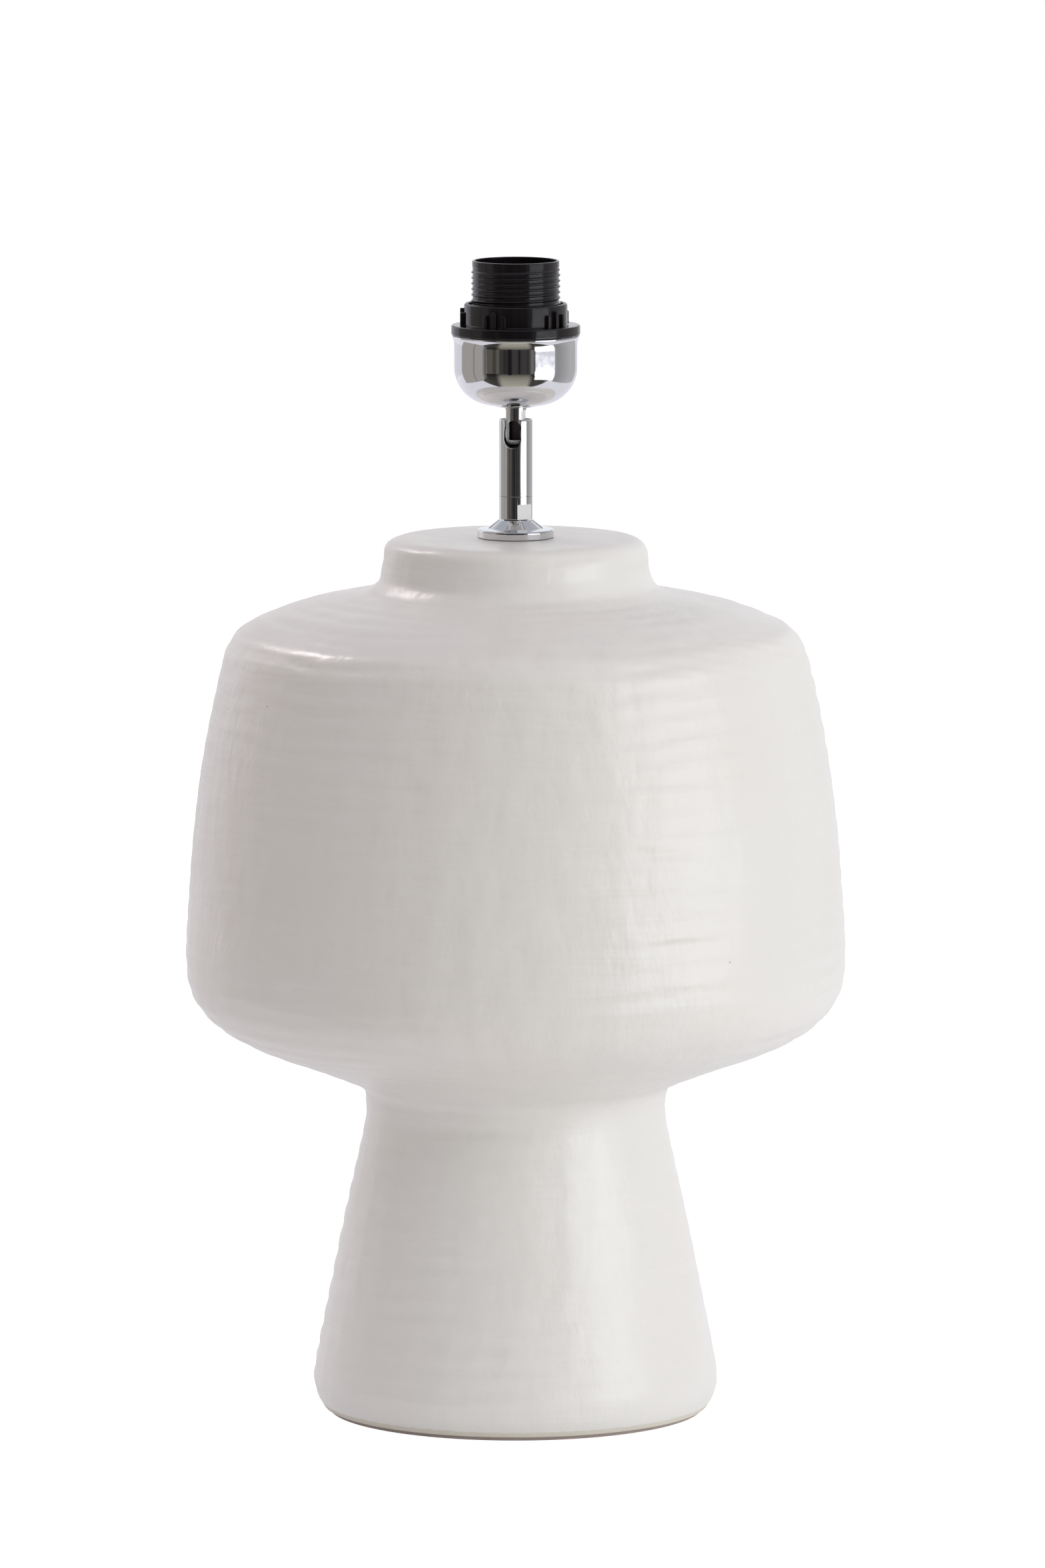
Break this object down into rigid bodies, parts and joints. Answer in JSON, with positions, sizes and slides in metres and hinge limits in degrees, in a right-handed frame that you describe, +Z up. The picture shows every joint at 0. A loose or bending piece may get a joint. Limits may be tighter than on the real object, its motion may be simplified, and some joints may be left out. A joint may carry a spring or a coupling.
{
  "type": "table lamp base",
  "caption": "Matt white ceramic table lamp base, belly on a cone foot, with a chrome swivel-and-tilt stem, chrome cup and black threaded lampholder.",
  "frame": {"origin": "middle of the pad's lower face, on the surface the lamp stands on", "axes": "+Z up along the lamp's axis, -Y towards the viewer of the picture, +X to that viewer's right"},
  "size_m": [0.2944, 0.2944, 0.516],
  "materials": {
    "white_glaze": "matt white glaze over stoneware, faint throwing rings",
    "brown_felt": "thin brown felt",
    "grey_rubber": "soft dark rubber",
    "zinc_steel": "zinc-plated steel",
    "chrome": "polished chrome plate",
    "brass": "bare brass",
    "red_fibre": "vulcanised fibre",
    "black_thermoplastic": "black moulded thermoplastic, glossy",
    "ivory_ceramic": "unglazed insulating ceramic"
  },
  "bodies": {
    "base": {"ceramic_body": "white_glaze", "base_pad": "brown_felt", "cord_grommet": "grey_rubber", "threaded_nipple": "zinc_steel", "rubber_washer": "grey_rubber", "steel_washer": "zinc_steel", "lock_washer": "zinc_steel", "hex_nut": "zinc_steel", "canopy_flange": "chrome", "swivel_base": "chrome", "stop_pin": "zinc_steel", "retaining_ring": "zinc_steel"},
    "barrel": {"swivel_barrel": "chrome", "ball_seat": "zinc_steel", "wave_washer": "zinc_steel"},
    "head": {"tilt_stem": "chrome", "lampholder_cup": "chrome", "cup_washer": "red_fibre", "cup_nut": "zinc_steel", "holder_cap": "black_thermoplastic", "cap_lock_screw": "zinc_steel", "contact_block": "ivory_ceramic", "centre_rivet": "brass", "side_rivet": "brass", "side_contact": "brass", "terminal_post_left": "brass", "terminal_post_right": "brass", "terminal_screw_left": "zinc_steel", "terminal_screw_right": "zinc_steel", "threaded_skirt": "black_thermoplastic"},
    "centre_contact": {"centre_contact": "brass"},
    "shade_ring": {"shade_ring": "black_thermoplastic"}
  },
  "joints": [
    {"name": "swivel_turn", "type": "hinge", "parent": "base", "child": "barrel", "pos_m": [0, 0, 0.4111], "axis": [0, 0, 1], "range_deg": [-165, 165]},
    {"name": "head_tilt", "type": "hinge", "parent": "barrel", "child": "head", "pos_m": [0, 0, 0.4385], "axis": [0.9703, -0.2419, 0], "range_deg": [0, 90]},
    {"name": "shade_ring_travel", "type": "slide", "parent": "head", "child": "shade_ring", "axis": [0, 0, 1], "range_m": [0, 0.0175]},
    {"name": "centre_contact_flex", "type": "hinge", "parent": "head", "child": "centre_contact", "pos_m": [0.00169, 0.00679, 0.48612], "axis": [0.9703, -0.2419, 0], "range_deg": [0, 5], "stiffness_Nm_per_rad": 1}
  ]
}
